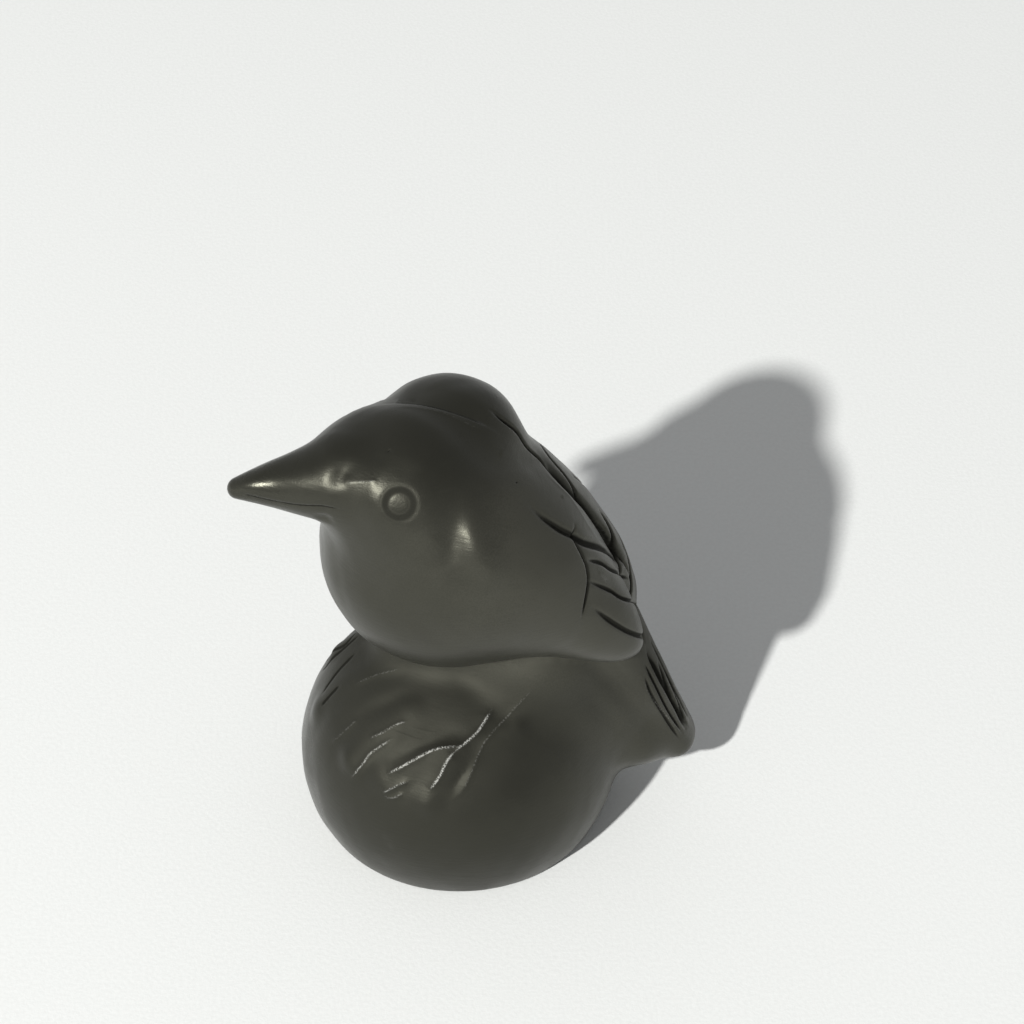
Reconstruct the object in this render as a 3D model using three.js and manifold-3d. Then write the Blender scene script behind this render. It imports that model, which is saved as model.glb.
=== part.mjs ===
// A small hunched raven on a rounded rock, carved from one piece of black volcanic glass and polished.
// Millimetres, +Z up. The origin is the middle of the flat underside. The beak points along -X, the tail hangs
// on the +X side, and the bird's left side faces -Y.
//
// The form is a distance field of rounded blocks that melt into each other, as a carver leaves them. Its surface
// is faceted on a cubic grid, with a flat underside, and the carved lines are cut into it with a V-shaped tool
// that follows the surface.

import * as THREE from "three";
import { mergeVertices } from "three/addons/utils/BufferGeometryUtils.js";
import Module from "manifold-3d";

// The height of the carving. Every place and size of the form and its lines is in hundredths of it.
const HEIGHT = 51.3;

// The rock that the raven sits on, cut flat below its middle
const ROCK = { centre: [-0.3, 0, 12.7], radii: [31, 30.2, 29.4] };

// Ridges left on the rock below the breast, each from its upper end to its lower end
const RIDGES = [
  { root: [12.7, -13.6, 39.4], tip: [-1.9, -20.3, 31.8], rootRadius: 2.3, tipRadius: 3.3 },
  { root: [-1, -19.5, 32.2], tip: [-13.6, -20.3, 26.3], rootRadius: 3.3, tipRadius: 2.1 },
  { root: [-1.9, -20.3, 31.4], tip: [-5.8, -25, 24.8], rootRadius: 3.1, tipRadius: 2.1 },
  { root: [-8.8, -12.5, 35.1], tip: [-19.9, -16, 26.7], rootRadius: 2.7, tipRadius: 2.1 },
  { root: [-11.7, -1.9, 36.5], tip: [-25.3, -2.7, 25.5], rootRadius: 3.5, tipRadius: 2.3 },
  { root: [-9.7, 7.8, 37], tip: [-22.6, 8.6, 28.7], rootRadius: 4.3, tipRadius: 2.7 },
];
const RIDGE_BLEND = 2.3;

// The raven's body. Radii are along a block's own X, Y and Z before it is tilted about Y and turned about Z,
// in degrees. The flanks are a pair, one each side.
const BREAST = { centre: [-1.8, 1.4, 67.8], radii: [24, 24.2, 22.4] };
const FLANK = { centre: [8.2, 6.2, 73.3], radii: [12.5, 13.1, 28.3], tilt: -45, turn: -3.5 };
const LEFT_TIP = { centre: [21.4, -7.8, 58.9], radii: [6.8, 7, 16], tilt: -50 };
const RIGHT_TIP = { centre: [20.1, 5.6, 58.3], radii: [6.8, 7, 16], tilt: -50 };
const SHOULDERS = { centre: [-1.9, 8, 86], radii: [14.2, 14.2, 12.5] };
const BREAST_BLEND = 9.7;
const WING_TIP_BLEND = 7.8;
const BACK_BLEND = 1.9;
const SHOULDER_BLEND = 2.9;

// Head and beak
const HEAD = { centre: [-9.4, -0.2, 85.2], radii: [14, 14.4, 14.6] };
const BEAK = { root: [-20.7, -4.3, 89.5], tip: [-39.6, -3.3, 86.4], rootRadius: 8.2, tipRadius: 2.6 };
const BEAK_BLEND = 4.9;
const HEAD_BLEND = 7.8;

// Tail, a flat wedge that hangs behind the rock, and the masses under it and under the belly that join the bird
// to the rock
const TAIL = { root: [26.1, 2.5, 50.3], tip: [43.1, 2.9, 12.8], rootRadius: 6, tipRadius: 2.9, widen: 1.6 };
const RUMP = { root: [12.7, -0.4, 38.6], tip: [33.7, 0, 16.2], rootRadius: 14.6, tipRadius: 6 };
const SEAT = { centre: [0.6, 6.2, 44.1], radii: [19.9, 14, 11.7] };
const TAIL_BLEND = 3.9;
const RUMP_BLEND = 5.8;
const ROCK_BLEND = 4.9;
const SEAT_BLEND = 3.9;

// Carved lines, as points near the surface of the left side. The right side has the same, mirrored.
const WIDE = { width: 2.1, depth: 1.6 };
const FINE = { width: 1.4, depth: 0.9 };
const COVERT = { points: [[21.2, -6.8, 79.7], [24.2, -11.3, 73.3], [22.2, -16.8, 66.3]], cut: FINE };
const FEATHERS = [
  { points: [[13.6, -9.6, 86.5], [20.7, -8.6, 79.9], [29.2, -1.6, 64.3]], cut: WIDE },
  { points: [[24.2, -10.1, 74.1], [27.3, -6.6, 69.4], [31, -1.2, 59.6]], cut: FINE },
  { points: [[24.4, -12.7, 71], [28.5, -9.7, 65.1], [32.6, -2.7, 53.8]], cut: FINE },
  { points: [[25.3, -14, 65.9], [29.2, -12.1, 60.4], [33.9, -8.2, 51.5]], cut: FINE },
];
const GAPE = { points: [[-38.2, -5.5, 86.2], [-31.2, -8.2, 85.8], [-21.4, -12.1, 86.9]], cut: FINE };
const EYES = [[-9.9, -14.2, 93.6], [-16.8, 12.5, 88.9]];
const EYE_RING = { radius: 3.3, groove: 0.7 };

// The two lines down the back where the folded wings meet it, and the feather lines of the tail, which close up
// towards its tip
const WING_EDGE = { points: [[6.2, 0, 101.4], [17.5, 0, 87.7], [25.3, 0, 74.1], [30.4, 0, 61.4]], cut: WIDE };
const WING_EDGE_Y = [-0.2, 5.3];
const TAIL_LINE = { points: [[35.1, 6.6, 39], [44.8, 4.3, 17.2]], cut: FINE };
const TAIL_LINES = 5;
const TAIL_MIDDLE = 2.7;

const NOT_LENGTHS = ["tilt", "turn", "widen"];

// Fineness of the faceting and of the cutters, in millimetres
const FACET = 1.55;
const LAYER_ABOVE_FOOT = 0.07;
const LINE_STEP = 1.3;
const LINE_LIFT = 0.5;
const LINE_END = 0.3;
const SLIVER = 0.04;

const wasm = await Module();
wasm.setup();

// A length, or all the lengths in a list or a block, in millimetres
function sized(value) {
  if (typeof value === "number") return (value * HEIGHT) / 100;
  if (Array.isArray(value)) return value.map(sized);
  const entries = Object.entries(value);
  return Object.fromEntries(entries.map(([key, part]) => [key, NOT_LENGTHS.includes(key) ? part : sized(part)]));
}

// Distance fields
function ellipsoid({ centre, radii, tilt = 0, turn = 0 }) {
  const middle = new THREE.Vector3(...centre);
  const lean = new THREE.Euler(0, THREE.MathUtils.degToRad(tilt), THREE.MathUtils.degToRad(turn), "ZYX");
  const upright = new THREE.Quaternion().setFromEuler(lean).invert();
  const q = new THREE.Vector3();
  return (p) => {
    q.copy(p).sub(middle).applyQuaternion(upright);
    const a = Math.hypot(q.x / radii[0], q.y / radii[1], q.z / radii[2]);
    const b = Math.hypot(q.x / radii[0] ** 2, q.y / radii[1] ** 2, q.z / radii[2] ** 2);
    return b < 1e-9 ? -Math.min(...radii) : (a * (a - 1)) / b;
  };
}

// A ball at each end with a cone between them, wider along Y where widen is over 1
function taper({ root, tip, rootRadius, tipRadius, widen = 1 }) {
  const start = new THREE.Vector3(...root);
  const axis = new THREE.Vector3(...tip).sub(start);
  const length = axis.length();
  axis.divideScalar(length);
  const slope = (rootRadius - tipRadius) / length;
  const across = Math.sqrt(1 - slope * slope);
  const q = new THREE.Vector3();
  return (p) => {
    q.copy(p).sub(start);
    q.y /= widen;
    const along = q.dot(axis);
    const away = Math.sqrt(Math.max(0, q.lengthSq() - along * along));
    const foot = along - (away * slope) / across;
    if (foot < 0) return Math.hypot(along, away) - rootRadius;
    if (foot > length) return Math.hypot(along - length, away) - tipRadius;
    return away * across + along * slope - rootRadius;
  };
}

function otherSide(block) {
  const [x, y, z] = block.centre;
  return { ...block, centre: [x, -y, z], turn: -(block.turn ?? 0) };
}

function melt(a, b, blend) {
  const reach = sized(blend);
  const near = Math.max(reach - Math.abs(a - b), 0) / reach;
  return Math.min(a, b) - (near * near * reach) / 4;
}

const rock = ellipsoid(sized(ROCK));
const ridges = sized(RIDGES).map(taper);
const breast = ellipsoid(sized(BREAST));
const flanks = sized([FLANK, otherSide(FLANK)]).map(ellipsoid);
const wingTips = sized([RIGHT_TIP, LEFT_TIP]).map(ellipsoid);
const shoulders = ellipsoid(sized(SHOULDERS));
const head = ellipsoid(sized(HEAD));
const beak = taper(sized(BEAK));
const tail = taper(sized(TAIL));
const rump = taper(sized(RUMP));
const seat = ellipsoid(sized(SEAT));

function bird(p) {
  const [rightWing, leftWing] = flanks.map((flank, k) => melt(flank(p), wingTips[k](p), WING_TIP_BLEND));
  let d = melt(leftWing, breast(p), BREAST_BLEND);
  d = melt(d, melt(head(p), beak(p), BEAK_BLEND), HEAD_BLEND);
  d = melt(d, rightWing, BACK_BLEND);
  d = melt(d, shoulders(p), SHOULDER_BLEND);
  d = melt(d, tail(p), TAIL_BLEND);
  return melt(d, rump(p), RUMP_BLEND);
}

function ridgedRock(p) {
  return ridges.reduce((sum, ridge) => melt(sum, ridge(p), RIDGE_BLEND), rock(p));
}

function carving(p) {
  const seated = melt(ridgedRock(p), seat(p), ROCK_BLEND);
  return Math.max(melt(bird(p), seated, SEAT_BLEND), -p.z);
}

// Two solid grid corners that meet only across a square's diagonal would share an edge with two empty ones, so
// the shallower of the two empty corners is made solid
function fillPinches(value, step, depth) {
  const squares = [[step[0], step[1]], [step[1], step[2]], [step[2], step[0]]];
  let filled = true;
  while (filled) {
    filled = false;
    for (let n = 0; n < value.length; n++)
      for (const [u, v] of squares) {
        const ring = [n, n + u, n + u + v, n + v];
        const [a, b, c, d] = ring.map((m) => value[m] < 0);
        if (a !== c || b !== d || a === b) continue;
        const empty = a ? [ring[1], ring[3]] : [ring[0], ring[2]];
        const shallow = value[empty[0]] < value[empty[1]] ? empty[0] : empty[1];
        value[shallow] = -depth;
        filled = true;
      }
  }
}

// Faceting: one vertex in each grid cell that the surface crosses, moved onto the surface, and one quad across
// each crossed grid edge
function facet(field, outward, low, high, cell) {
  const [nx, ny, nz] = high.map((v, k) => Math.ceil((v - low[k]) / cell) + 1);
  const at = (i, j, k) => i + nx * (j + ny * k);
  const step = [at(1, 0, 0), at(0, 1, 0), at(0, 0, 1)];
  const value = new Float64Array(nx * ny * nz);
  const p = new THREE.Vector3();
  for (let k = 0; k < nz; k++)
    for (let j = 0; j < ny; j++)
      for (let i = 0; i < nx; i++)
        value[at(i, j, k)] = field(p.set(low[0] + i * cell, low[1] + j * cell, low[2] + k * cell));
  fillPinches(value, step, cell / 10);

  const corners = [0, 1, 2, 3, 4, 5, 6, 7].map((n) => [n & 1, (n >> 1) & 1, (n >> 2) & 1]);
  const edges = corners.flatMap((_, n) => [1, 2, 4].filter((s) => !(n & s)).map((s) => [n, n + s]));
  const vertexOf = new Int32Array(value.length).fill(-1);
  const positions = [];
  for (let k = 0; k < nz - 1; k++)
    for (let j = 0; j < ny - 1; j++)
      for (let i = 0; i < nx - 1; i++) {
        const sum = [0, 0, 0];
        let crossings = 0;
        for (const [m, n] of edges) {
          const a = value[at(i + corners[m][0], j + corners[m][1], k + corners[m][2])];
          const b = value[at(i + corners[n][0], j + corners[n][1], k + corners[n][2])];
          if (a < 0 === b < 0) continue;
          const t = a / (a - b);
          for (let c = 0; c < 3; c++) sum[c] += corners[m][c] + t * (corners[n][c] - corners[m][c]);
          crossings++;
        }
        if (!crossings) continue;
        vertexOf[at(i, j, k)] = positions.length / 3;
        p.fromArray([i, j, k].map((g, c) => low[c] + (g + sum[c] / crossings) * cell));
        positions.push(...p.addScaledVector(outward(p), -field(p)).toArray());
      }

  const triangles = [];
  const span = (a, b) => Math.hypot(...[0, 1, 2].map((c) => positions[3 * a + c] - positions[3 * b + c]));
  for (let k = 1; k < nz - 1; k++)
    for (let j = 1; j < ny - 1; j++)
      for (let i = 1; i < nx - 1; i++)
        for (let axis = 0; axis < 3; axis++) {
          const here = at(i, j, k);
          const inside = value[here] < 0;
          if (inside === value[here + step[axis]] < 0) continue;
          const u = step[(axis + 1) % 3];
          const v = step[(axis + 2) % 3];
          const ring = [here - u - v, here - v, here, here - u].map((n) => vertexOf[n]);
          if (!inside) ring.reverse();
          const [a, b, c, d] = ring;
          if (span(a, c) < span(b, d)) triangles.push(a, b, c, a, c, d);
          else triangles.push(a, b, d, b, c, d);
        }
  return { positions, triangles };
}

// The grid reaches past every block by a margin. One of its layers lies just above the underside, which keeps
// the foot's edge crisp.
function gridCorners(margin, cell) {
  const balls = [ROCK, BREAST, FLANK, otherSide(FLANK), LEFT_TIP, RIGHT_TIP, SHOULDERS, HEAD, SEAT].map(sized)
    .map(({ centre, radii }) => [centre, Math.max(...radii)]);
  for (const { root, tip, rootRadius, tipRadius, widen = 1 } of [BEAK, TAIL, RUMP, ...RIDGES].map(sized))
    balls.push([root, rootRadius * widen], [tip, tipRadius * widen]);
  const box = new THREE.Box3();
  for (const [centre, radius] of balls) {
    const middle = new THREE.Vector3(...centre);
    box.expandByPoint(middle.clone().subScalar(radius));
    box.expandByPoint(middle.clone().addScalar(radius));
  }
  box.expandByScalar(margin);
  box.min.z = (LAYER_ABOVE_FOOT - 2) * cell;
  return [box.min.toArray(), box.max.toArray()];
}

function solidFrom({ positions, triangles }) {
  return new wasm.Manifold(new wasm.Mesh({
    numProp: 3,
    vertProperties: new Float32Array(positions),
    triVerts: new Uint32Array(triangles),
  }));
}

function solidOf(geometry) {
  geometry.deleteAttribute("normal");
  geometry.deleteAttribute("uv");
  const merged = mergeVertices(geometry, 1e-4);
  return solidFrom({ positions: merged.attributes.position.array, triangles: merged.index.array });
}

function geometryOf(solid) {
  const { vertProperties, triVerts } = solid.getMesh();
  const geometry = new THREE.BufferGeometry();
  geometry.setAttribute("position", new THREE.BufferAttribute(vertProperties, 3));
  geometry.setIndex(new THREE.BufferAttribute(triVerts, 1));
  geometry.computeVertexNormals();
  return geometry;
}

// Carving: the surface's outward direction, and the point of the surface nearest to a given one
function outward(p) {
  const reach = 0.05;
  const slope = [0, 1, 2].map((axis) => {
    const above = p.clone().setComponent(axis, p.getComponent(axis) + reach);
    const below = p.clone().setComponent(axis, p.getComponent(axis) - reach);
    return carving(above) - carving(below);
  });
  return new THREE.Vector3(...slope).normalize();
}

function ontoSurface(p) {
  const q = p.clone();
  for (let pass = 0; pass < 8; pass++) q.addScaledVector(outward(q), -carving(q));
  return q;
}

// A V-shaped cutter that follows the surface and runs out shallow at both ends
function cutter({ points, cut: { width, depth } }) {
  const path = new THREE.CatmullRomCurve3(points.map((v) => ontoSurface(new THREE.Vector3(...v))));
  const steps = Math.max(3, Math.round(path.getLength() / LINE_STEP));
  const positions = [];
  for (let n = 0; n <= steps; n++) {
    const t = n / steps;
    const at = ontoSurface(path.getPointAt(t));
    const up = outward(at);
    const side = path.getTangentAt(t).cross(up).normalize();
    const share = LINE_END + (1 - LINE_END) * Math.sin(Math.PI * t);
    const half = (share * width) / 2 + (LINE_LIFT * width) / (2 * depth);
    const corners = [
      at.clone().addScaledVector(up, -share * depth),
      at.clone().addScaledVector(up, LINE_LIFT).addScaledVector(side, half),
      at.clone().addScaledVector(up, LINE_LIFT).addScaledVector(side, -half),
    ];
    for (const corner of corners) positions.push(...corner.toArray());
  }
  const last = 3 * steps;
  const triangles = [0, 1, 2, last, last + 2, last + 1];
  for (let n = 0; n < last; n += 3)
    for (const [a, b] of [[0, 1], [1, 2], [2, 0]])
      triangles.push(n + a, n + 3 + a, n + 3 + b, n + a, n + 3 + b, n + b);
  return solidFrom({ positions, triangles });
}

function eyeCutter(at, { radius, groove }) {
  const middle = ontoSurface(new THREE.Vector3(...at));
  const ring = new THREE.TorusGeometry(radius, groove, 4, 18);
  const facing = new THREE.Quaternion().setFromUnitVectors(new THREE.Vector3(0, 0, 1), outward(middle));
  return solidOf(ring.applyQuaternion(facing).translate(...middle.toArray()));
}

const flip = ([x, y, z]) => [x, -y, z];
const withPoints = (line, change) => ({ ...line, points: line.points.map(change) });
const sideLines = [COVERT, ...FEATHERS, GAPE];
const tailLines = Array.from({ length: TAIL_LINES }, (_, n) => {
  const share = (2 * n) / (TAIL_LINES - 1) - 1;
  return withPoints(TAIL_LINE, ([x, y, z]) => [x, TAIL_MIDDLE + share * y, z]);
});
const lines = [
  ...sideLines,
  ...sideLines.map((line) => withPoints(line, flip)),
  ...WING_EDGE_Y.map((y) => withPoints(WING_EDGE, ([x, , z]) => [x, y, z])),
  ...tailLines,
];
const cutters = [...sized(lines).map(cutter), ...sized(EYES).map((at) => eyeCutter(at, sized(EYE_RING)))];

const uncut = solidFrom(facet(carving, outward, ...gridCorners(2 * FACET, FACET), FACET));
const body = cutters.reduce((rest, tool) => rest.subtract(tool), uncut).simplify(SLIVER);

const obsidian = new THREE.MeshStandardMaterial({ color: 0x2b2b28, roughness: 0.25, metalness: 0 });
const raven = new THREE.Mesh(geometryOf(body), obsidian);
raven.name = "raven_on_stone";

const group = new THREE.Group();
group.add(raven);
export default group;
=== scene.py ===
"""A polished obsidian raven on its rock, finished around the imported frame.

The frame is in metres. The tables of the form are in hundredths of the carving's height. The carved lines
that the photograph shows are in pixels of its 1024 x 1024 frame, and are set onto the surface from the
camera's place.
"""
from math import cos, pi, radians, sin

import bpy
import numpy as np
from mathutils import Matrix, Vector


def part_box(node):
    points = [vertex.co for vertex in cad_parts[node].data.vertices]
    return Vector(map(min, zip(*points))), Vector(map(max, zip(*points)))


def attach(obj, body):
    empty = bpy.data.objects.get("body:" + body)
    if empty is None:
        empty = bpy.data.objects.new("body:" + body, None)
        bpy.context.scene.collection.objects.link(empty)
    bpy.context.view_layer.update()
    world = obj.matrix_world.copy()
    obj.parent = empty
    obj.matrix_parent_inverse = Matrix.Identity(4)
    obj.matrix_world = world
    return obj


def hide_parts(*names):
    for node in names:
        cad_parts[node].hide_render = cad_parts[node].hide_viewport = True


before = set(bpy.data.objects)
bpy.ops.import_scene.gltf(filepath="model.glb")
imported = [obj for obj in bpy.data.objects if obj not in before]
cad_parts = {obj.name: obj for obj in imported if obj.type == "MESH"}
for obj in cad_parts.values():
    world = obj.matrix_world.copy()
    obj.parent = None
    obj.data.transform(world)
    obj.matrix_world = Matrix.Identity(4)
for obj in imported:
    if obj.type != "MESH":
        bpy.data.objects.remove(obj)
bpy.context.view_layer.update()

bl_info = {
    "name": "Obsidian Raven Carving",
    "version": (1, 0, 0),
    "blender": (4, 5, 0),
    "location": "View3D > Sidebar > Raven",
    "description": "Sculpts and polishes a small stone raven on its rock",
    "category": "Add Mesh",
}

MM = 0.001
NODE = "raven_on_stone"
BODY = "root"
PIECE = "raven_carving"

# The photograph's camera: its angle above the table, its distance in millimetres, its scale at the origin,
# the origin's pixel, the picture's width in pixels and the sensor's in millimetres
ELEVATION = radians(45)
DISTANCE = 350.0
PIXELS_PER_MM = 9.8
ORIGIN_PIXEL = (462, 785)
IMAGE_SIZE = 1024
SENSOR = 36.0

# The key light's direction, from the carving's shadow, and its distance and the floor's width in metres
KEY_FROM = (-0.72, -1.05, 1.0)
KEY_AWAY = 2.0
FLOOR_WIDTH = 3.0

# Rounded blocks of the rock and of the bird, in hundredths of the carving's height and in degrees
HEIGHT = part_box(NODE)[1].z / MM
ROCK = dict(centre=(-0.3, 0, 12.7), radii=(31, 30.2, 29.4))
RIDGES = [
    dict(root=(10.5, -15.6, 34.6), tip=(-1.9, -20.3, 31.2), root_radius=1.2, tip_radius=1.9),
    dict(root=(-1, -19.5, 31.6), tip=(-13.6, -20.3, 26.3), root_radius=1.9, tip_radius=1.7),
    dict(root=(-1.9, -20.3, 31), tip=(-5.8, -25, 24.8), root_radius=1.8, tip_radius=1.4),
    dict(root=(-8.8, -12.5, 35.1), tip=(-19.9, -16, 26.7), root_radius=2.2, tip_radius=1.3),
    dict(root=(-11.7, -1.9, 36.5), tip=(-25.3, -2.7, 25.5), root_radius=3, tip_radius=2.1),
    dict(root=(-9.7, 7.8, 37), tip=(-22.6, 8.6, 28.7), root_radius=2.5, tip_radius=1.8),
]
BREAST = dict(centre=(-1.8, 1.4, 67.8), radii=(24, 24.2, 22.4))
RIGHT_FLANK = dict(centre=(8.2, 6.2, 73.3), radii=(12.5, 13.1, 28.3), tilt=-45, turn=-3.5)
LEFT_FLANK = dict(centre=(8.2, -6.2, 73.3), radii=(12.5, 13.1, 28.3), tilt=-45, turn=3.5)
RIGHT_TIP = dict(centre=(20.1, 5.6, 58.3), radii=(6.8, 7, 16), tilt=-50)
LEFT_TIP = dict(centre=(21.4, -7.8, 58.9), radii=(6.8, 7, 16), tilt=-50)
SHOULDERS = dict(centre=(-1.9, 8, 86), radii=(14.2, 14.2, 12.5))
HEAD = dict(centre=(-9.4, -0.2, 85.2), radii=(14, 14.4, 14.6))
BROW = dict(centre=(-17, 1.9, 88.3), radii=(8.1, 8.1, 8.1))
BEAK = dict(root=(-20.7, -4.3, 89.5), tip=(-39.3, -5.1, 88), root_radius=8.2, tip_radius=2)
TAIL = dict(root=(26.1, 2.5, 50.3), tip=(43.1, 2.9, 12.8), root_radius=6, tip_radius=2.9, widen=1.6)
RUMP = dict(root=(14.3, 0.4, 38.3), tip=(33.7, 0, 16.2), root_radius=13.4, tip_radius=6)
FIN = dict(root=(33.7, 0, 16.2), tip=(41, 1.5, 12.2), root_radius=6, tip_radius=3.4)
SEAT = dict(centre=(0.6, 5.8, 44.1), radii=(18.5, 12.8, 11.7))

# How far each pair of forms melts together, in the same hundredths
MELT = dict(ridge=3, breast=9.7, wing_tip=7.8, back=1.9, shoulder=3, beak=4.4, head=7.8, tail=3, rump=5,
            rock=4.9, seat=2.6, foot=1)
NOT_LENGTHS = ("tilt", "turn", "widen")

# Two edges that are each drawn by two lines, as pixels
COVERT_EDGE = [(574, 526), (575, 539), (580, 550), (585, 564), (588, 579), (588, 589), (585, 602),
               (582, 616)]
MOUTH = [(341, 509), (322, 506), (297, 504), (271, 501), (252, 496), (238, 491)]

# Lines of the near side as pixels: kind, width and depth in millimetres, and whether the far side has them
# too. A groove carries painted shade, and a ridge carries a painted highlight along its crest. A step drops
# the surface on the left of the line's direction as seen from outside. A hollow and a swell are soft and
# keep the stone's colour.
PHOTO_LINES = [
    ("groove", 0.45, 0.32, False, [(491, 411), (503, 420), (516, 432), (525, 445), (539, 459), (551, 473),
                                   (562, 487)]),
    ("groove", 1.5, 0.75, False, [(545, 463), (556, 475), (569, 489), (582, 502), (593, 517), (604, 534),
                                  (614, 547), (624, 562)]),
    ("ridge", 0.3, 0.1, False, [(545, 472), (556, 484), (568, 497), (579, 512), (590, 529), (602, 545)]),
    ("groove", 0.32, 0.4, False, [(541, 437), (543, 448), (550, 458), (562, 473), (576, 491), (591, 513),
                                  (603, 527), (615, 545), (625, 565), (629, 576)]),
    ("groove", 0.3, 0.3, False, [(594, 496), (609, 518), (618, 534), (625, 552)]),
    ("groove", 0.85, 0.42, False, [(532, 508), (541, 516), (551, 523), (562, 530), (573, 536), (587, 543),
                                  (605, 550), (621, 561)]),
    ("groove", 0.52, 0.34, True, [(588, 560), (601, 563), (614, 571), (629, 579)]),
    ("groove", 0.5, 0.32, True, [(588, 581), (601, 586), (612, 591), (628, 600), (638, 607)]),
    ("groove", 0.6, 0.34, True, [(593, 608), (609, 620), (623, 629), (634, 634), (644, 641)]),
    ("step", 2.0, 0.22, False, COVERT_EDGE),
    ("groove", 0.44, 0.36, True, COVERT_EDGE),
    ("groove", 0.5, 0.3, True, [(646, 650), (656, 672), (671, 700), (685, 728)]),
    ("groove", 0.35, 0.25, True, [(645, 664), (653, 682), (667, 708), (681, 732)]),
    ("groove", 0.35, 0.2, False, [(644, 676), (651, 694), (664, 716), (678, 738)]),
    ("step", 2.6, 0.5, False, [(395, 403), (420, 404), (445, 410), (470, 419), (488, 427)]),
    ("hollow", 3, 0.42, False, [(430, 580), (449, 554), (452, 530), (455, 500), (460, 485)]),
    ("swell", 3.4, 0.5, False, [(470, 606), (489, 575), (478, 548), (476, 522), (486, 496)]),
    ("swell", 5, 0.42, False, [(366, 446), (374, 470), (377, 495), (374, 520), (366, 540)]),
    ("swell", 4.4, 0.3, False, [(247, 466), (250, 484), (253, 502)]),
    ("step", 1.3, 0.16, True, MOUTH),
    ("groove", 0.28, 0.1, True, MOUTH),
    ("hollow", 1.2, 0.3, False, [(312, 516), (327, 518), (337, 521)]),
    ("hollow", 1.8, 0.22, True, [(359, 461), (350, 466), (341, 475), (334, 485), (327, 492)]),
    ("ridge", 0.5, 0.12, True, [(344, 483), (360, 482), (380, 481.5)]),
    ("groove", 0.35, 0.12, False, [(388, 451), (390, 452)]),
    ("groove", 0.3, 0.08, False, [(515, 481), (518, 484)]),
    ("ridge", 0.42, 0.34, False, [(492, 709), (484, 722), (477, 733), (466, 743), (459, 748), (453, 754)]),
    ("ridge", 0.45, 0.34, False, [(461, 747), (449, 748), (438, 750), (426, 754), (413, 761), (400, 768),
                                  (388, 774)]),
    ("ridge", 0.4, 0.3, False, [(455, 751), (446, 763), (441, 774), (430, 790)]),
    ("ridge", 0.3, 0.16, False, [(408, 721), (396, 725), (383, 733), (370, 739)]),
    ("ridge", 0.3, 0.2, False, [(394, 738), (380, 747), (371, 754), (363, 764), (352, 778)]),
    ("ridge", 0.28, 0.18, False, [(410, 780), (399, 784), (383, 792)]),
    ("ridge", 0.28, 0.14, False, [(404, 793), (393, 797), (385, 795)]),
    ("ridge", 0.25, 0.1, False, [(404, 668), (393, 671), (383, 674), (370, 679), (354, 686)]),
    ("ridge", 0.35, 0.1, False, [(359, 718), (346, 731), (332, 744)]),
    ("ridge", 0.22, 0.1, False, [(537, 683), (521, 700), (506, 718), (491, 734), (481, 748), (468, 779),
                                 (461, 792), (449, 802)]),
    ("groove", 0.5, 0.07, False, [(358, 632), (343, 646), (325, 663)]),
    ("groove", 0.45, 0.07, False, [(360, 636), (341, 651), (322, 672)]),
    ("groove", 0.55, 0.08, False, [(356, 654), (336, 674), (322, 694)]),
    ("groove", 0.45, 0.07, False, [(340, 686), (330, 696), (321, 706)]),
    ("hollow", 2.0, 0.18, False, [(436, 688), (402, 698), (366, 713), (333, 743)]),
    ("hollow", 1.4, 0.2, False, [(470, 724), (440, 737), (410, 750), (380, 764)]),
    ("hollow", 1.2, 0.2, False, [(472, 754), (462, 772), (446, 795)]),
    ("ridge", 0.35, 0.1, False, [(640, 674), (650, 695), (670, 720), (688, 738)]),
    ("ridge", 0.3, 0.07, False, [(396, 408), (420, 409), (445, 415), (470, 425), (486, 432)]),
    ("hollow", 3.2, 0.3, False, [(570, 674), (600, 708), (632, 746)]),
]

# Lines that the photograph hides, with their ends in hundredths of the height: the feather lines on the back
# of the tail
TAIL_LINES = [
    ("groove", 0.55, 0.35, [(35.1, -0.6, 39), (44.8, 0.55, 17.2)]),
    ("groove", 0.55, 0.35, [(35.1, 2.7, 39), (44.8, 2.7, 17.2)]),
    ("groove", 0.55, 0.35, [(35.1, 6, 39), (44.8, 4.85, 17.2)]),
    ("groove", 0.55, 0.35, [(35.1, 9.3, 39), (44.8, 7, 17.2)]),
]

# Profile of the lines: the half width of a groove as a share of its width, the reach of a line in widths,
# how fast it runs out at its ends and the share that is left there, then in millimetres the half width of
# the painted highlight along a ridge's crest, the height of a ridge whose crest gets the full painted
# highlight and the softness of a step's edge. Soft kinds run out over their whole length.
HALF_WIDTH = 0.42
LINE_REACH = 3.0
RUN_OUT = 5
END_SHARE = 0.15
GLINT_HALF_WIDTH = 0.13
FULL_GLINT_HEIGHT = 0.3
STEP_EDGE = 0.08
SOFT_KINDS = ("hollow", "swell")

# The eyes: the near one's pixel and the far one's place in hundredths of the height. A dome stands in a
# shallow trough that is painted dark as painted shade, with a fine rim scored round it. Radii and depths are
# in millimetres.
EYE_PIXEL = (399.7, 503.6)
FAR_EYE = (-16.8, 12.5, 88.9)
DOME_RADIUS = 0.85
RIM_RADIUS = 1.68
TROUGH_DEPTH = 0.024
RIM_CUT = 0.015
RIM_WIDTH = 0.12

# The beak's end, left of this in millimetres, is meshed as finely as the lines
FINE_BEAK = -17.5

# The carver's unevenness: wave length and height in millimetres of each swell over the whole surface
SWELLS = [(11.0, 0.07), (4.5, 0.018)]

# Rounds of a projection onto the form and its largest move, rounds of smoothing, the spacing of a line's
# rows, and the depths that are searched behind a pixel, counted from the origin's: the first, the last and
# their step. All lengths are in millimetres.
PROJECTIONS = 4
LARGEST_MOVE = 0.8
RELAXATIONS = 3
SAMPLE = 0.15
SEARCH = (-45, 30, 0.3)
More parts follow.
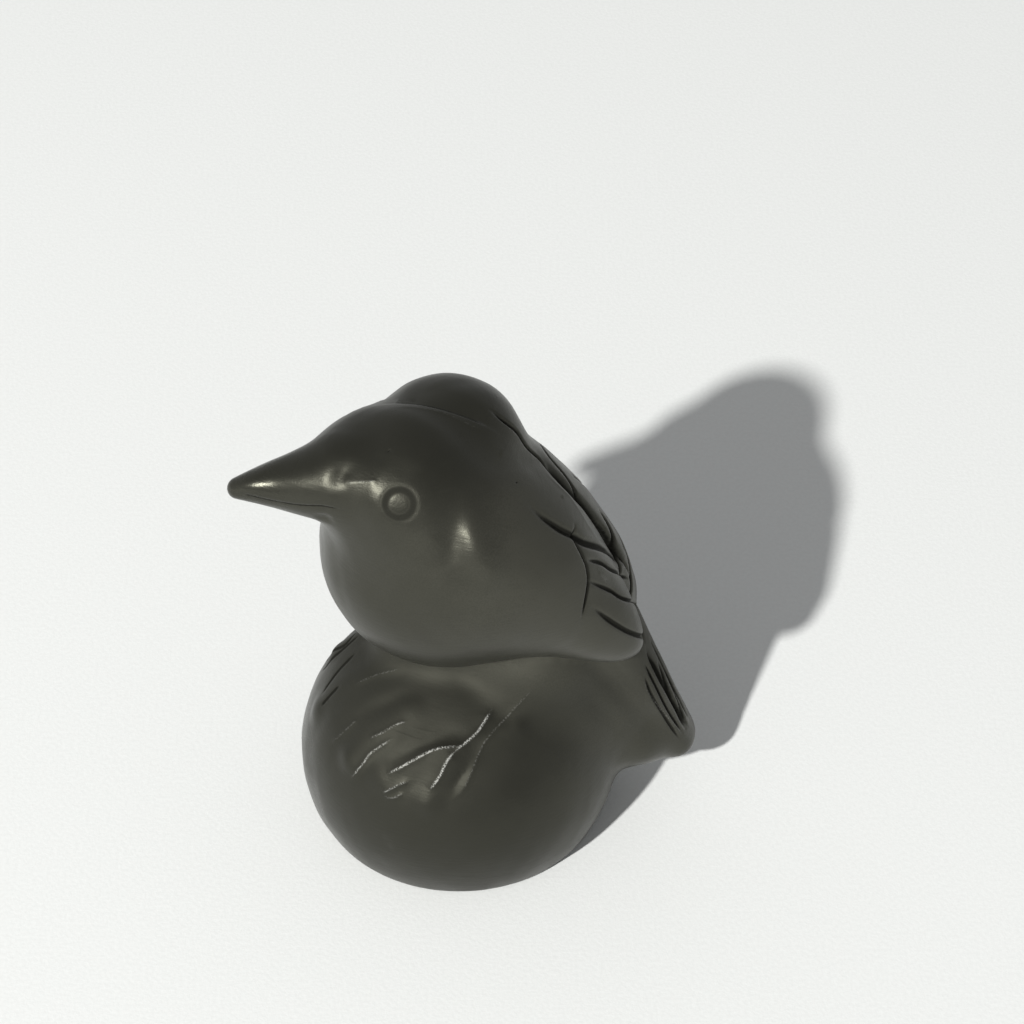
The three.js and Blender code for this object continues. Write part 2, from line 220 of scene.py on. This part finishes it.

# Where the finish changes, in metres: along Z the beginning of the lighter body colour and its fade to dark
# at the crown as painted shade, and the beginning and end of the dull band at the top of the rock, then
# along X the root of the polished beak, the span over which the left of the breast is painted darker as
# painted shade, and where the wings are painted lighter as painted sheen
SHEENED_ABOVE = (18 * MM, 25 * MM)
CROWN_FADE = (45 * MM, 49.5 * MM)
DULL_ABOVE = (11 * MM, 18 * MM)
DULL_BELOW = (23.5 * MM, 25.5 * MM)
BEAK_ROOT = (-15 * MM, -9 * MM)
LEFT_SHADE_SPAN = (-8 * MM, 9 * MM)
WING_SHEEN_SPAN = (5 * MM, 16 * MM)

# Scale of the noise on the stone and on the paper, and of the broad patches as a share of it
STONE_GRAIN = 6500.0
PAPER_GRAIN = 2400.0
PATCH_SCALE = 0.02


class Form(bpy.types.PropertyGroup):
    """Fineness of the sculpted mesh."""
    step: bpy.props.FloatProperty(
        name="Mesh step", description="Spacing of the sculpted surface", default=0.43 * MM, unit="LENGTH")
    band: bpy.props.FloatProperty(
        name="Fine band", description="How far round a carved line the mesh is refined", default=0.6 * MM,
        unit="LENGTH")
    cuts: bpy.props.IntProperty(
        name="Line cuts", description="Extra cuts of each edge near a carved line", default=2,
        subtype="UNSIGNED")


class Finish(bpy.types.PropertyGroup):
    """Colours and polish of the stone."""
    stone: bpy.props.FloatVectorProperty(
        name="Stone", description="Colour of the rock and the crown", default=(0.014, 0.0139, 0.0112),
        size=3, subtype="COLOR")
    # The lighter body colour is partly a lighter tone of the stone and partly painted light: painted sheen
    # on the wings, painted shade at the crown and on the left of the breast
    sheened: bpy.props.FloatVectorProperty(
        name="Rubbed", description="Colour of the rubbed breast and wings", default=(0.036, 0.0356, 0.029),
        size=3, subtype="COLOR")
    # Painted shade: this near-black colour darkens the scored grooves and the eyes' troughs, where shade
    # falls
    cut: bpy.props.FloatVectorProperty(
        name="Cut", description="Colour of the scored lines", default=(0.002, 0.002, 0.0018),
        size=3, subtype="COLOR")
    # Painted highlight: this pale colour along the crests stands in for the glints and light rims on the
    # ridges and edges
    crest_glint: bpy.props.FloatVectorProperty(
        name="Worn crest", description="Pale scuffs along the crests of the rock",
        default=(0.36, 0.36, 0.34), size=3, subtype="COLOR")
    polish: bpy.props.FloatProperty(
        name="Roughness", description="Roughness of the rubbed body", default=0.34, subtype="FACTOR")
    gloss: bpy.props.FloatProperty(
        name="Beak roughness", description="Roughness of the polished beak", default=0.26, subtype="FACTOR")


class Studio(bpy.types.PropertyGroup):
    """Floor, light and world."""
    floor: bpy.props.FloatVectorProperty(
        name="Paper", description="Colour of the floor", default=(0.83, 0.842, 0.825), size=3,
        subtype="COLOR")
    key: bpy.props.FloatProperty(
        name="Key power", description="Power of the soft key light", default=51.0, unit="POWER")
    key_size: bpy.props.FloatProperty(
        name="Key size", description="Width of the key light", default=0.08, unit="LENGTH")
    sky: bpy.props.FloatProperty(
        name="Sky", description="Strength of the surrounding light", default=0.36, subtype="UNSIGNED")


def sized(value):
    """A length, or all the lengths in a list or a block, in millimetres."""
    if isinstance(value, dict):
        return {key: part if key in NOT_LENGTHS else sized(part) for key, part in value.items()}
    return np.multiply(value, HEIGHT / 100)


def melt(a, b, blend):
    """Joins two forms, given by their distances, and rounds the crease between them."""
    reach = sized(MELT[blend])
    near = np.maximum(reach - np.abs(a - b), 0) / reach
    return np.minimum(a, b) - near * near * reach / 4


def ellipsoid(p, centre, radii, tilt=0, turn=0):
    """Distance from a rounded block that is tilted about Y and then turned about Z."""
    lean = np.array(Matrix.Rotation(radians(turn), 3, "Z") @ Matrix.Rotation(radians(tilt), 3, "Y"))
    q = (p - centre) @ lean
    a = np.linalg.norm(q / radii, axis=1)
    b = np.linalg.norm(q / np.square(radii), axis=1)
    return a * (a - 1) / np.maximum(b, 1e-9)


def taper(p, root, tip, root_radius, tip_radius, widen=1):
    """A ball at each end with a cone between them, wider along Y where widen is over 1."""
    axis = np.subtract(tip, root)
    length = np.linalg.norm(axis)
    slope = (root_radius - tip_radius) / length
    across = np.sqrt(1 - slope * slope)
    q = (p - root) / (1, widen, 1)
    along = q @ (axis / length)
    away = np.sqrt(np.maximum((q * q).sum(1) - along * along, 0))
    foot = along - away * slope / across
    side = away * across + along * slope - root_radius
    side = np.where(foot < 0, np.hypot(along, away) - root_radius, side)
    return np.where(foot > length, np.hypot(along - length, away) - tip_radius, side)


def carving(p):
    """Distance from the carving's surface, below zero inside, for rows of points in millimetres."""
    def block(form):
        return ellipsoid(p, **sized(form))

    def limb(form):
        return taper(p, **sized(form))

    d = melt(melt(block(LEFT_FLANK), block(LEFT_TIP), "wing_tip"), block(BREAST), "breast")
    d = melt(d, melt(melt(block(HEAD), block(BROW), "beak"), limb(BEAK), "beak"), "head")
    d = melt(d, melt(block(RIGHT_FLANK), block(RIGHT_TIP), "wing_tip"), "back")
    d = melt(d, block(SHOULDERS), "shoulder")
    d = melt(d, limb(TAIL), "tail")
    rock = block(ROCK)
    for ridge in RIDGES:
        rock = melt(rock, limb(ridge), "ridge")
    rock = melt(rock, block(SEAT), "rock")
    rock = melt(rock, melt(limb(RUMP), limb(FIN), "tail"), "rump")
    return -melt(-melt(d, rock, "seat"), p[:, 2], "foot")


def outward(p, reach=0.03):
    """Unit vector away from the carving at each point."""
    corners = np.array([(1, 1, 1), (1, -1, -1), (-1, 1, -1), (-1, -1, 1)])
    slope = sum(carving(p + reach * corner)[:, None] * corner for corner in corners)
    return slope / np.linalg.norm(slope, axis=1, keepdims=True)


def onto_surface(p):
    """Moves points onto the carving's surface."""
    for _ in range(PROJECTIONS):
        p = p - outward(p) * np.clip(carving(p), -LARGEST_MOVE, LARGEST_MOVE)[:, None]
    return p


def photo_view():
    """The photograph's eye point, its right, up and forward directions, and its focal length in pixels."""
    right = np.array((1.0, 0.0, 0.0))
    forward = np.array((0, cos(ELEVATION), -sin(ELEVATION)))
    up = np.cross(right, forward)
    focal = PIXELS_PER_MM * DISTANCE
    dx = (ORIGIN_PIXEL[0] - IMAGE_SIZE / 2) / focal
    dy = (IMAGE_SIZE / 2 - ORIGIN_PIXEL[1]) / focal
    return -(forward + right * dx + up * dy) * DISTANCE, right, up, forward, focal


def trace(pixels):
    """The first surface point behind each pixel, or the nearest one where a pixel just misses the form."""
    eye, right, up, forward, focal = photo_view()
    offset = (np.array(pixels, float) - IMAGE_SIZE / 2) / focal
    rays = forward + offset[:, :1] * right - offset[:, 1:] * up
    depths = np.arange(*SEARCH) + DISTANCE
    points = eye + rays[:, None] * depths[None, :, None]
    value = carving(points.reshape(-1, 3)).reshape(len(rays), -1)
    hit = np.where((value < 0).any(1), (value < 0).argmax(1), value.argmin(1))
    return onto_surface(points[np.arange(len(rays)), hit])


def dense(points, spacing):
    """A smooth curve through the points, as rows a given distance apart."""
    p = np.array(points, float)
    p = np.vstack([2 * p[0] - p[1], p, 2 * p[-1] - p[-2]])
    rows = []
    for a, b, c, d in zip(p, p[1:], p[2:], p[3:]):
        t = np.linspace(0, 1, max(2, int(np.linalg.norm(c - b) / spacing)), endpoint=False)[:, None]
        rows.append(0.5 * (2 * b + (c - a) * t + (2 * a - 5 * b + 4 * c - d) * t ** 2
                           + (3 * b - a - 3 * c + d) * t ** 3))
    return np.vstack(rows + [p[-2:-1]])


def surface_lines():
    """Every carved line as (kind, width, depth, rows of surface points, the far side's sign).

    A far line starts a quarter of the way on, so that it stays clear of the outline in the photograph.
    """
    lines = []
    for kind, width, depth, both, pixels in PHOTO_LINES:
        path = onto_surface(dense(trace(pixels), SAMPLE))
        lines.append((kind, width, depth, path, 1))
        if both:
            lines.append((kind, width, depth, onto_surface(path[len(path) // 4:] * (1, -1, 1)), -1))
    for kind, width, depth, points in TAIL_LINES:
        path = onto_surface(dense(onto_surface(sized(points)), SAMPLE))
        lines.append((kind, width, depth, path, 1))
    return lines


def eyes():
    """Centres of the two eyes on the surface."""
    return [trace([EYE_PIXEL])[0], onto_surface(sized([FAR_EYE]))[0]]


def nearest(p, path):
    """Distance, index of the nearest row and signed side of each point against a path."""
    gap = np.full(len(p), np.inf)
    index = np.zeros(len(p), int)
    for n, q in enumerate(path):
        d = ((p - q) ** 2).sum(1)
        closer = d < gap
        gap[closer] = d[closer]
        index[closer] = n
    ahead = np.gradient(path, axis=0)
    ahead /= np.linalg.norm(ahead, axis=1, keepdims=True)
    left = np.cross(outward(path), ahead)
    left /= np.maximum(np.linalg.norm(left, axis=1, keepdims=True), 1e-9)
    offset = p - path[index]
    along = np.clip((offset * ahead[index]).sum(1), -SAMPLE, SAMPLE)
    return np.sqrt(np.maximum(gap - along ** 2, 0)), index, (offset * left[index]).sum(1)


def relief(p, lines):
    """Height that the lines add to each surface point, and its shares of painted shade in a groove or an
    eye's trough and of painted highlight on a ridge's crest.
    """
    height = np.zeros(len(p))
    cut = np.zeros(len(p))
    glint_share = np.zeros(len(p))
    for kind, width, depth, path, far in lines:
        reach = LINE_REACH * width
        box = ((p > path.min(0) - reach) & (p < path.max(0) + reach)).all(1)
        gap, index, side = nearest(p[box], path)
        t = index / (len(path) - 1)
        run_out = np.clip(np.minimum(t, 1 - t) * RUN_OUT + END_SHARE, 0, 1)
        soft = np.exp(-(gap / (HALF_WIDTH * width)) ** 2)
        if kind in SOFT_KINDS:
            share = soft * np.sin(pi * t) ** 2
            height[box] += depth * share if kind == "swell" else -depth * share
        elif kind == "groove":
            share = soft * run_out
            height[box] -= depth * share
            # The groove's share of painted shade
            cut[box] = np.maximum(cut[box], np.clip(1.5 * share, 0, 1))
        elif kind == "ridge":
            share = np.exp(-np.sqrt(gap ** 2 + 0.01) / width) * run_out
            height[box] += depth * share
            # Painted highlight along the crest, fuller on higher ridges
            crest_glint = np.exp(-(gap / GLINT_HALF_WIDTH) ** 2) * run_out * min(depth / FULL_GLINT_HEIGHT, 1)
            glint_share[box] = np.maximum(glint_share[box], crest_glint)
        else:
            beyond = 1 / (1 + np.exp(np.clip(-far * side / STEP_EDGE, -40, 40)))
            height[box] -= depth * beyond * np.exp(-gap / width) * run_out
    for eye in eyes():
        r = np.linalg.norm(p - eye, axis=1)
        middle = (DOME_RADIUS + RIM_RADIUS) / 2
        trough = np.exp(-((r - middle) / (0.55 * (RIM_RADIUS - DOME_RADIUS))) ** 4)
        rim = np.exp(-((r - RIM_RADIUS) / RIM_WIDTH) ** 2)
        height -= TROUGH_DEPTH * trough + RIM_CUT * rim
        # The eye's trough gets painted shade
        cut = np.maximum(cut, 0.7 * trough)
    for length, swell in SWELLS:
        k = 2 * pi / length
        x, y, z = p.T
        wave = np.sin(k * x + 1.3 * np.sin(k * y)) * np.sin(k * z + 0.7) * np.sin(k * y + 1.9)
        height += swell * wave * np.clip(z / 2, 0, 1)
    return height, cut, glint_share


def near_lines(p, lines, band):
    """Which points lie on the beak's end or within a band of a hard line or of an eye."""
    close = p[:, 0] < FINE_BEAK
    for kind, width, _, path, _ in lines:
        if kind in SOFT_KINDS:
            continue
        reach = band + 0.4 * min(width, 1.2)
        box = np.flatnonzero(((p > path.min(0) - reach) & (p < path.max(0) + reach)).all(1))
        gap, _, _ = nearest(p[box], path)
        close[box[gap < reach]] = True
    for eye in eyes():
        close |= np.linalg.norm(p - eye, axis=1) < RIM_RADIUS + band
    return close


def select_only(piece):
    """Selects one piece alone and makes it the active one."""
    bpy.ops.object.select_all(action="DESELECT")
    piece.select_set(True)
    bpy.context.view_layer.objects.active = piece


def points_of(mesh):
    """The mesh's vertices in millimetres."""
    co = np.zeros(len(mesh.vertices) * 3, np.float32)
    mesh.vertices.foreach_get("co", co)
    return co.reshape(-1, 3).astype(float) / MM


def set_points(mesh, p):
    """Moves the mesh's vertices to rows of points in millimetres."""
    mesh.vertices.foreach_set("co", (p * MM).astype(np.float32).ravel())
    mesh.update()


class RAVEN_OT_body(bpy.types.Operator):
    """Remeshes a copy of the solid finely and smooths it onto the carving's true surface"""
    bl_idname = "raven.body"
    bl_label = "Sculpt the Body"

    def execute(self, context):
        form = context.scene.raven_form
        piece = bpy.data.objects.new(PIECE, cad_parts[NODE].data.copy())
        context.collection.objects.link(piece)
        select_only(piece)
        bpy.ops.object.mode_set(mode="EDIT")
        bpy.ops.mesh.select_all(action="SELECT")
        bpy.ops.mesh.remove_doubles(threshold=0.001 * MM)
        bpy.ops.object.mode_set(mode="OBJECT")
        piece.data.remesh_voxel_size = form.step
        bpy.ops.object.voxel_remesh()
        for _ in range(RELAXATIONS):
            set_points(piece.data, onto_surface(points_of(piece.data)))
            bpy.ops.object.mode_set(mode="EDIT")
            bpy.ops.mesh.select_all(action="SELECT")
            bpy.ops.mesh.vertices_smooth(factor=0.5, repeat=2)
            bpy.ops.object.mode_set(mode="OBJECT")
        return {"FINISHED"}


class RAVEN_OT_lines(bpy.types.Operator):
    """Refines the mesh along the carved lines and cuts them, with the rock's ridges and the eyes"""
    bl_idname = "raven.lines"
    bl_label = "Carve the Lines"

    def execute(self, context):
        form = context.scene.raven_form
        piece = bpy.data.objects[PIECE]
        mesh = piece.data
        select_only(piece)
        centres = np.zeros(len(mesh.polygons) * 3, np.float32)
        mesh.polygons.foreach_get("center", centres)
        lines = surface_lines()
        chosen = near_lines(centres.reshape(-1, 3) / MM, lines, form.band / MM)
        context.tool_settings.mesh_select_mode = (False, False, True)
        mesh.vertices.foreach_set("select", np.zeros(len(mesh.vertices), bool))
        mesh.edges.foreach_set("select", np.zeros(len(mesh.edges), bool))
        mesh.polygons.foreach_set("select", chosen)
        bpy.ops.object.mode_set(mode="EDIT")
        bpy.ops.mesh.subdivide(number_cuts=form.cuts)
        bpy.ops.object.mode_set(mode="OBJECT")
        p = onto_surface(points_of(mesh))
        height, *marks = relief(p, lines)
        set_points(mesh, p + outward(p) * height[:, None])
        # Stores the shares of painted shade and painted highlight on the points
        for name, share in zip(("carved", "glint_share"), marks):
            mesh.attributes.new(name, "FLOAT", "POINT").data.foreach_set("value", share.astype(np.float32))
        bpy.ops.object.shade_smooth()
        piece.data.materials.clear()
        piece.data.materials.append(stone_material(context.scene.raven_finish))
        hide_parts(NODE)
        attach(piece, BODY)
        return {"FINISHED"}


def feed(tree, socket, value):
    """Connects a socket to another one, or sets its value."""
    if isinstance(value, bpy.types.NodeSocket):
        tree.links.new(value, socket)
    else:
        socket.default_value = value


def node(tree, kind, settings=None, **inputs):
    """Adds a shader node, sets its fields and connects or sets its inputs."""
    made = tree.nodes.new(kind)
    for key, value in (settings or {}).items():
        setattr(made, key, value)
    for key, value in inputs.items():
        feed(tree, made.inputs[key.replace("_", " ")], value)
    return made


def maths(tree, operation, a, b):
    """The two values added or multiplied."""
    made = node(tree, "ShaderNodeMath", {"operation": operation})
    feed(tree, made.inputs[0], a)
    feed(tree, made.inputs[1], b)
    return made.outputs[0]


def grain_group():
    """Fine grain and broad patches for stone and paper, from two sizes of noise."""
    group = bpy.data.node_groups.get("Fine grain")
    if group:
        return group
    group = bpy.data.node_groups.new("Fine grain", "ShaderNodeTree")
    sockets = group.interface
    sockets.new_socket("Vector", in_out="INPUT", socket_type="NodeSocketVector")
    sockets.new_socket("Scale", in_out="INPUT", socket_type="NodeSocketFloat")
    sockets.new_socket("Grain", in_out="OUTPUT", socket_type="NodeSocketFloat")
    sockets.new_socket("Patches", in_out="OUTPUT", socket_type="NodeSocketFloat")
    into = group.nodes.new("NodeGroupInput")
    fine = node(group, "ShaderNodeTexNoise", Vector=into.outputs["Vector"], Scale=into.outputs["Scale"],
                Detail=4.0, Roughness=0.6)
    wide = maths(group, "MULTIPLY", into.outputs["Scale"], PATCH_SCALE)
    broad = node(group, "ShaderNodeTexNoise", Vector=into.outputs["Vector"], Scale=wide, Detail=5.0,
                 Roughness=0.55)
    out = group.nodes.new("NodeGroupOutput")
    group.links.new(fine.outputs["Fac"], out.inputs["Grain"])
    group.links.new(broad.outputs["Fac"], out.inputs["Patches"])
    return group


def ranged(tree, value, low, high, to_low, to_high):
    """The value carried smoothly from one range to another."""
    made = node(tree, "ShaderNodeMapRange", {"interpolation_type": "SMOOTHSTEP"}, Value=value,
                From_Min=low, From_Max=high, To_Min=to_low, To_Max=to_high)
    return made.outputs["Result"]


def blended(tree, share, a, b):
    """A colour between a and b, where share says how much of b."""
    made = node(tree, "ShaderNodeMix", {"data_type": "RGBA"})
    for index, value in ((0, share), (6, a), (7, b)):
        feed(tree, made.inputs[index], value)
    return made.outputs[2]


def new_material(name):
    material = bpy.data.materials.new(name)
    material.use_nodes = True
    material.node_tree.nodes.clear()
    return material, material.node_tree


def close_material(tree, shader):
    out = tree.nodes.new("ShaderNodeOutputMaterial")
    tree.links.new(shader.outputs["BSDF"], out.inputs["Surface"])


def stone_material(finish):
    """Near-black volcanic glass: lighter body with painted sheen and shade, glossy beak, duller rock, fine
    scratches, grooves in painted shade and crests with painted highlights.
    """
    material, tree = new_material("Polished obsidian")
    where = node(tree, "ShaderNodeTexCoord").outputs["Object"]
    grain = node(tree, "ShaderNodeGroup", {"node_tree": grain_group()}, Vector=where, Scale=STONE_GRAIN)
    streaks = node(tree, "ShaderNodeMapping", Vector=where, Scale=(300.0, 300.0, 4000.0),
                   Rotation=(0.5, 0.9, 0.2))
    scratches = node(tree, "ShaderNodeTexNoise", Vector=streaks.outputs["Vector"], Scale=1.0, Detail=3.0)
    carved = node(tree, "ShaderNodeAttribute", {"attribute_name": "carved"}).outputs["Fac"]
    glint_share = node(tree, "ShaderNodeAttribute", {"attribute_name": "glint_share"}).outputs["Fac"]
    patches = ranged(tree, grain.outputs["Patches"], 0.42, 0.66, 0.0, 1.0)
    parts = node(tree, "ShaderNodeSeparateXYZ", Vector=where)
    x, z = parts.outputs["X"], parts.outputs["Z"]
    # The lighter body colour: partly a lighter tone of the stone, partly painted light. It fades to the dark
    # stone at the crown and towards the left of the breast as painted shade, and is raised on the wings as
    # painted sheen; patches and grain vary it at random
    sheened = maths(tree, "MULTIPLY", ranged(tree, z, *SHEENED_ABOVE, 0.0, 1.0),
                   ranged(tree, z, *CROWN_FADE, 1.0, 0.05))
    sheened = maths(tree, "MULTIPLY", sheened, ranged(tree, x, *LEFT_SHADE_SPAN, 0.42, 1.0))
    sheened = maths(tree, "ADD", sheened, ranged(tree, x, *WING_SHEEN_SPAN, 0.0, 0.8))
    sheened = maths(tree, "MULTIPLY", sheened, ranged(tree, patches, 0.0, 1.0, 0.85, 1.1))
    sheened = maths(tree, "MULTIPLY", sheened, ranged(tree, grain.outputs["Grain"], 0.3, 0.7, 0.75, 1.25))
    colour = blended(tree, sheened, (*finish.stone, 1), (*finish.sheened, 1))
    # Painted shade: the grooves and the eyes' troughs take the near-black colour
    colour = blended(tree, ranged(tree, carved, 0.2, 0.9, 0.0, 1.0), colour, (*finish.cut, 1))
    # Painted highlight: the crests take the pale colour, broken up by the grain
    glint_share = maths(tree, "MULTIPLY", glint_share, ranged(tree, grain.outputs["Grain"], 0.38, 0.6, 0.15, 1.1))
    colour = blended(tree, ranged(tree, glint_share, 0.1, 1.0, 0.0, 1.0), colour, (*finish.crest_glint, 1))
    rough = ranged(tree, x, *BEAK_ROOT, finish.gloss, finish.polish)
    rough = maths(tree, "ADD", rough, ranged(tree, patches, 0.0, 1.0, 0.0, 0.07))
    rough = maths(tree, "ADD", rough, ranged(tree, scratches.outputs["Fac"], 0.6, 0.75, 0.0, 0.06))
    rough = maths(tree, "ADD", rough, ranged(tree, carved, 0.2, 0.9, 0.0, 0.5))
    dull = maths(tree, "MULTIPLY", ranged(tree, z, *DULL_ABOVE, 0.0, 0.28),
                 ranged(tree, z, *DULL_BELOW, 1.0, 0.0))
    rough = maths(tree, "ADD", rough, dull)
    bump = node(tree, "ShaderNodeBump", Strength=0.6, Distance=0.02 * MM,
                Height=maths(tree, "ADD", grain.outputs["Grain"], scratches.outputs["Fac"]))
    shader = node(tree, "ShaderNodeBsdfPrincipled", Base_Color=colour, Roughness=rough, IOR=1.44,
                  Specular_IOR_Level=0.43, Specular_Tint=(1.0, 0.99, 0.8, 1),
                  Normal=bump.outputs["Normal"])
    close_material(tree, shader)
    return material


def paper_material(colour):
    material, tree = new_material("Pale paper")
    where = node(tree, "ShaderNodeTexCoord").outputs["Object"]
    grain = node(tree, "ShaderNodeGroup", {"node_tree": grain_group()}, Vector=where, Scale=PAPER_GRAIN)
    dim = tuple(0.96 * c for c in colour)
    tint = blended(tree, ranged(tree, grain.outputs["Grain"], 0.3, 0.7, 0.0, 1.0), (*dim, 1), (*colour, 1))
    bump = node(tree, "ShaderNodeBump", Strength=0.5, Distance=0.05 * MM, Height=grain.outputs["Grain"])
    shader = node(tree, "ShaderNodeBsdfPrincipled", Base_Color=tint, Roughness=0.9,
                  Normal=bump.outputs["Normal"])
    close_material(tree, shader)
    return material


def soft_world(sky):
    """A plain surround that is brightest at the horizon behind the carving and dim overhead."""
    world = bpy.data.worlds.new("Soft surround")
    bpy.context.scene.world = world
    world.use_nodes = True
    tree = world.node_tree
    tree.nodes.clear()
    way = node(tree, "ShaderNodeTexCoord").outputs["Generated"]
    parts = node(tree, "ShaderNodeSeparateXYZ", Vector=way)
    height = ranged(tree, parts.outputs["Z"], 0.25, 0.95, 1.25, 0.7)
    behind = ranged(tree, parts.outputs["Y"], -0.6, 0.8, 0.8, 1.2)
    light = maths(tree, "MULTIPLY", height, behind)
    strength = maths(tree, "MULTIPLY", light, sky)
    back = node(tree, "ShaderNodeBackground", Color=(0.97, 0.98, 1.0, 1), Strength=strength)
    out = tree.nodes.new("ShaderNodeOutputWorld")
    tree.links.new(back.outputs["Background"], out.inputs["Surface"])


class RAVEN_OT_stage(bpy.types.Operator):
    """Adds the camera, the key light, the surround and the pale floor"""
    bl_idname = "raven.stage"
    bl_label = "Set the Stage"

    def execute(self, context):
        studio = context.scene.raven_studio
        eye, _, _, _, focal = photo_view()
        bpy.ops.object.camera_add(location=eye * MM, rotation=(pi / 2 - ELEVATION, 0, 0))
        camera = context.object
        camera.data.sensor_width = SENSOR
        camera.data.lens = SENSOR * focal / IMAGE_SIZE
        camera.data.clip_start = 0.01
        context.scene.camera = camera

        away = np.array(KEY_FROM) / np.linalg.norm(KEY_FROM)
        bpy.ops.object.light_add(type="AREA", location=away * KEY_AWAY)
        key = context.object
        key.data.shape = "DISK"
        key.data.size = studio.key_size
        key.data.energy = studio.key
        key.data.color = (1.0, 0.995, 0.98)
        key.rotation_euler = key.location.to_track_quat("Z", "Y").to_euler()

        bpy.ops.mesh.primitive_plane_add(size=FLOOR_WIDTH)
        floor = context.object
        floor.name = "paper_floor"
        floor.data.materials.append(paper_material(studio.floor))
        soft_world(studio.sky)
        context.scene.view_settings.view_transform = "Standard"
        return {"FINISHED"}


class RAVEN_PT_panel(bpy.types.Panel):
    bl_idname = "RAVEN_PT_panel"
    bl_label = "Obsidian Raven"
    bl_space_type = "VIEW_3D"
    bl_region_type = "UI"
    bl_category = "Raven"

    def draw(self, context):
        for group in (context.scene.raven_form, context.scene.raven_finish, context.scene.raven_studio):
            for key in group.bl_rna.properties.keys():
                if key not in ("rna_type", "name"):
                    self.layout.prop(group, key)
        for operator in OPERATORS:
            self.layout.operator(operator.bl_idname)


OPERATORS = (RAVEN_OT_body, RAVEN_OT_lines, RAVEN_OT_stage)
GROUPS = {"raven_form": Form, "raven_finish": Finish, "raven_studio": Studio}
CLASSES = (*GROUPS.values(), *OPERATORS, RAVEN_PT_panel)


def register():
    for cls in CLASSES:
        bpy.utils.register_class(cls)
    for name, group in GROUPS.items():
        setattr(bpy.types.Scene, name, bpy.props.PointerProperty(type=group))


def unregister():
    for name in GROUPS:
        delattr(bpy.types.Scene, name)
    for cls in reversed(CLASSES):
        bpy.utils.unregister_class(cls)


def main():
    register()
    bpy.ops.raven.body()
    bpy.ops.raven.lines()
    bpy.ops.raven.stage()


if __name__ == "__main__":
    main()
